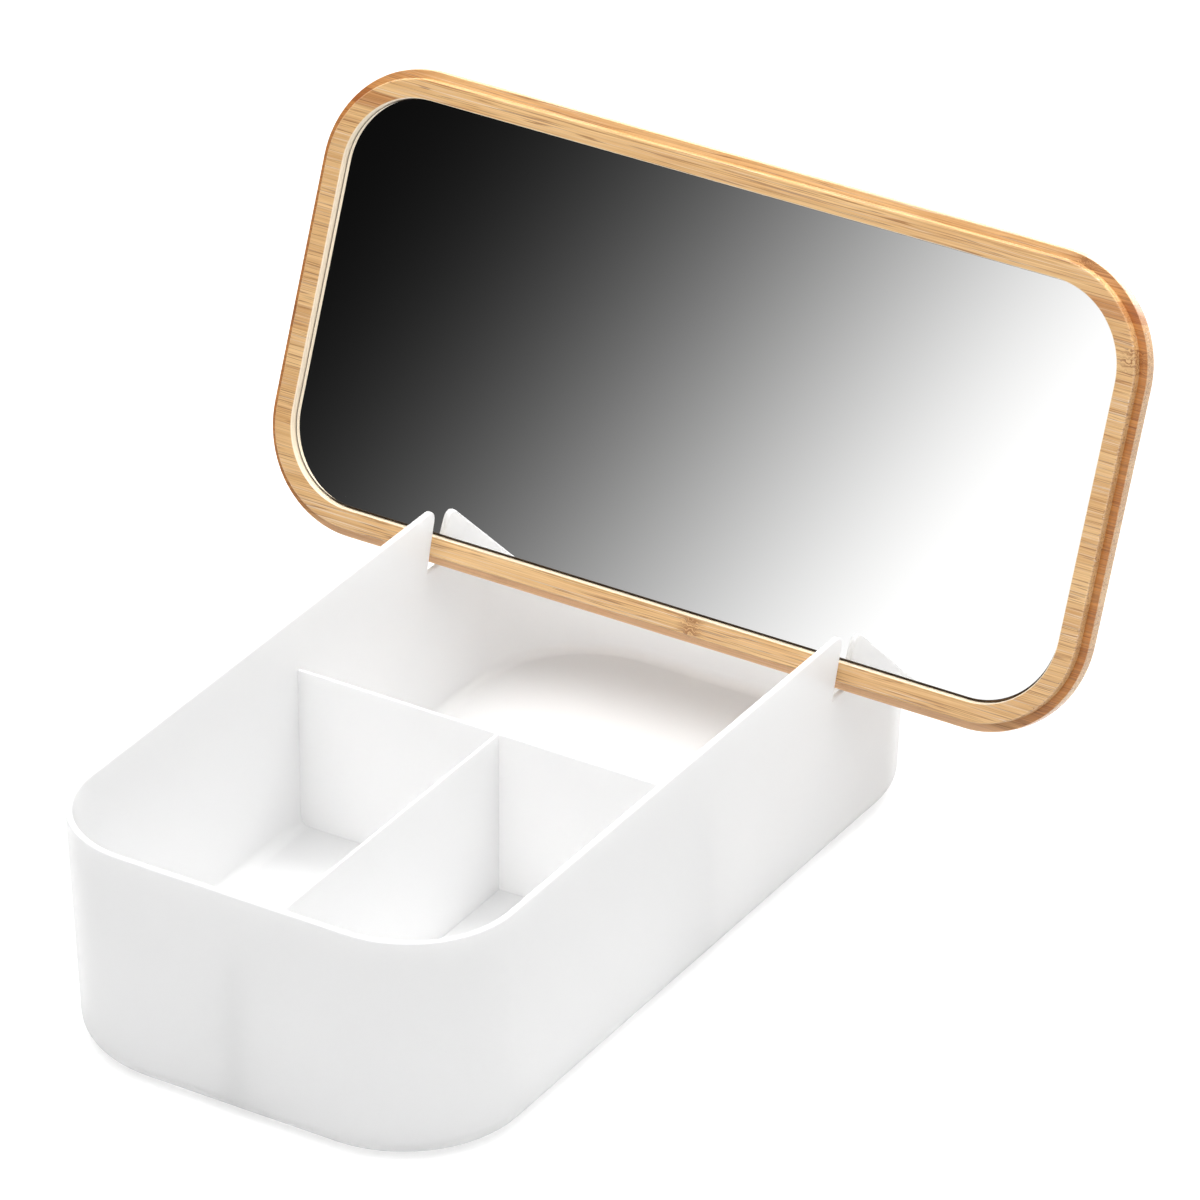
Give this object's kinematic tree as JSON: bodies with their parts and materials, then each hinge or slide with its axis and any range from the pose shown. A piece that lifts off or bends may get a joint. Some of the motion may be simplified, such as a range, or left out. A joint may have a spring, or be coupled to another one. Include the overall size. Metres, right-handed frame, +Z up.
{
  "type": "vanity box with mirror",
  "caption": "Long plastic tub with rounded corners and dividers, and a bamboo lid whose recessed mirror stands leaning back in slots in the long walls.",
  "frame": {"origin": "middle of the base, on the surface that the tub stands on", "axes": "+Z up, +Y along the tub towards the end with the slots, +X across the tub to the user's right when they face the mirror"},
  "size_m": [0.2708, 0.27, 0.1817],
  "materials": {
    "white_plastic": "smooth white, slightly translucent",
    "bamboo": "strip-laminated bamboo, clear satin lacquer",
    "mirror_glass": "polished, silvered on the back",
    "foam_tape": "foam, adhesive on both sides"
  },
  "bodies": {
    "tub": {"tub": "white_plastic", "divider_cross": "white_plastic", "divider_long": "white_plastic"},
    "lid": {"lid_board": "bamboo", "mirror": "mirror_glass", "tape_upper_left": "foam_tape", "tape_upper_right": "foam_tape", "tape_lower_left": "foam_tape", "tape_lower_right": "foam_tape"}
  },
  "joints": [
    {"name": "lid_lift", "type": "slide", "parent": "tub", "child": "lid", "axis": [0, 0.3746, 0.9272], "range_m": [0, 0.05]}
  ]
}
